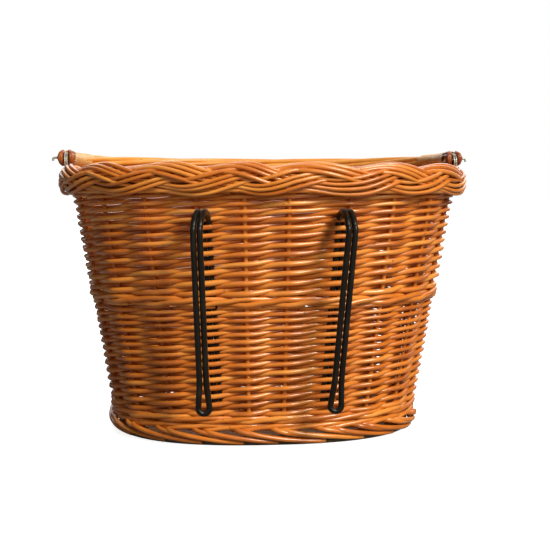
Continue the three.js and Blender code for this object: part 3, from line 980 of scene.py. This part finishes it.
PIN_RADIUS = 0.001
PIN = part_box("right_hinge_pin")
PIN_OUTER = PIN[1].x - PIN_RADIUS - BOW_HALF_WIDTH
PIN_INNER = BOW_HALF_WIDTH - PIN[0].x
PIN_BEND = 0.0014
PIN_EASE = 0.0004
PIN_TIP = 0.0030
RING_WIRE = 0.00075
RING_RADIUS = (RING[1].z - RING[0].z) / 2 - RING_WIRE
RING_Z = (RING[1].z + RING[0].z) / 2
RING_TURNS = 2
RING_PITCH = 0.00185


def pin_rod(side):
    path = [(-PIN_INNER, 0), (0, 0), (PIN_OUTER - PIN_BEND, 0), (PIN_OUTER - PIN_EASE, -PIN_EASE),
            (PIN_OUTER, -PIN_BEND), (PIN_OUTER, -PIN_TIP)]
    knots = [Vector((side * (BOW_HALF_WIDTH + across), 0.0, PIVOT.z + up)) for across, up in path]
    points = smoothed(knots, 4)
    return Rod(points, [PIN_RADIUS] * len(points), 0.5)


def ring_rod(side):
    """Two turns side by side, from the ring's foot and back to it."""
    points = []
    steps = 48 * RING_TURNS
    for i in range(steps + 1):
        angle = 2 * math.pi * RING_TURNS * i / steps
        across = side * BOW_HALF_WIDTH + RING_PITCH * RING_TURNS * (i / steps - 0.5)
        height = RING_Z - RING_RADIUS * math.cos(angle)
        points.append(Vector((across, RING_RADIUS * math.sin(angle), height)))
    return Rod(points, [RING_WIRE] * len(points), 0.5)


for side, hand in (("left", -1), ("right", 1)):
    hang(f"{side}_hinge_pin_wire", rods_mesh("pin", [pin_rod(hand)], resolution=4), WIRE, "handle",
         [f"{side}_hinge_pin"])
    hang(f"{side}_hinge_ring_wire", rods_mesh("ring", [ring_rod(hand)], resolution=4), WIRE, "basket",
         [f"{side}_hinge_ring"])


# ---- Floor, light and camera ----
# A pale studio floor and a warm key light high on the right in front. An upright softbox gives the
# highlights on the varnish, a fill opens the left and a back light the rest. The lens is a long
# one, at the height of the rim.

WHITE = (1.0, 1.0, 1.0, 1.0)
MIDDLE = (0.0, 0.0, 0.12)
FLOOR_SIZE = 30.0
FLOOR_Z = -0.0002
FLOOR_GLOW = 0.88
FLOOR_THROWN = (0.20, 0.19, 0.18, 1.0)
KEY_PLACE = (1.5, -2.1, 2.3)
KEY_STRENGTH = 3.6
KEY_COLOUR = (1.0, 0.94, 0.84)
SOFTBOX_PLACE = (0.62, -1.35, 0.72)
SOFTBOX_POWER = 6.5
SOFTBOX_COLOUR = (1.0, 0.88, 0.70)
FILL_PLACE = (-1.2, -1.6, 0.9)
FILL_POWER = 2.5
BACK_PLACE = (0.4, 2.4, 1.9)
BACK_STRENGTH = 2.0
SURROUND = 0.05
CAMERA_DISTANCE = 1.0
CAMERA_HEIGHT = 0.2295
CAMERA_BEARING = math.radians(-4.5)
CAMERA_AIM_RIGHT = math.radians(0.68)
CAMERA_PITCH = math.radians(4.4)
CAMERA_LENS = 66.4


def shown_and_thrown(tree, shown, thrown, output):
    """One shader for what the camera sees and one for the light that reaches the basket."""
    which = tree.nodes.new("ShaderNodeMixShader")
    ray = tree.nodes.new("ShaderNodeLightPath")
    tree.links.new(ray.outputs["Is Camera Ray"], which.inputs[0])
    tree.links.new(thrown.outputs[0], which.inputs[1])
    tree.links.new(shown.outputs[0], which.inputs[2])
    tree.links.new(which.outputs[0], tree.nodes[output].inputs[0])


floor = bmesh.new()
bmesh.ops.create_grid(floor, x_segments=1, y_segments=1, size=FLOOR_SIZE / 2)
floor_mesh = mesh_from(floor, "floor")
floor_piece = placed("floor", floor_mesh)
floor_piece.location.z = FLOOR_Z
pale = Finish("floor_pale", Base_Color=(0.8, 0.8, 0.8, 1.0), Roughness=0.9, Emission_Color=WHITE,
              Emission_Strength=FLOOR_GLOW)
plain = pale.tree.nodes.new("ShaderNodeBsdfDiffuse")
plain.inputs["Color"].default_value = FLOOR_THROWN
shown_and_thrown(pale.tree, pale.surface, plain, "Material Output")
floor_mesh.materials.append(pale.material)

world = bpy.data.worlds.new("studio")
scene.world = world
world.use_nodes = True
surround = world.node_tree.nodes["Background"]
surround.inputs["Color"].default_value = WHITE
surround.inputs["Strength"].default_value = SURROUND
backdrop = world.node_tree.nodes.new("ShaderNodeBackground")
backdrop.inputs["Color"].default_value = WHITE
shown_and_thrown(world.node_tree, backdrop, surround, "World Output")


def lamp(name, kind, place, **settings):
    """A light at a place, turned to the middle of the basket."""
    light = bpy.data.lights.new(name, kind)
    for setting, value in settings.items():
        setattr(light, setting, value)
    holder = placed(name, light)
    holder.location = place
    holder.rotation_mode = "QUATERNION"
    holder.rotation_quaternion = (Vector(MIDDLE) - Vector(place)).to_track_quat("-Z", "Y")


lamp("key", "SUN", KEY_PLACE, energy=KEY_STRENGTH, angle=math.radians(18), color=KEY_COLOUR)
lamp("softbox", "AREA", SOFTBOX_PLACE, energy=SOFTBOX_POWER, shape="RECTANGLE", size=0.2,
     size_y=0.6, color=SOFTBOX_COLOUR)
lamp("fill", "AREA", FILL_PLACE, energy=FILL_POWER, size=1.0)
lamp("back", "SUN", BACK_PLACE, energy=BACK_STRENGTH, angle=math.radians(70))

camera = placed("camera", bpy.data.cameras.new("camera"))
scene.camera = camera
camera.data.lens = CAMERA_LENS
camera.data.sensor_width = 36.0
camera.data.clip_start = 0.05
camera.location = (CAMERA_DISTANCE * math.sin(CAMERA_BEARING),
                   -CAMERA_DISTANCE * math.cos(CAMERA_BEARING), CAMERA_HEIGHT)
heading = CAMERA_AIM_RIGHT - CAMERA_BEARING
aim = Vector((math.sin(heading), math.cos(heading), -math.tan(CAMERA_PITCH)))
camera.rotation_mode = "QUATERNION"
camera.rotation_quaternion = aim.to_track_quat("-Z", "Y")
scene.view_settings.view_transform = "Standard"
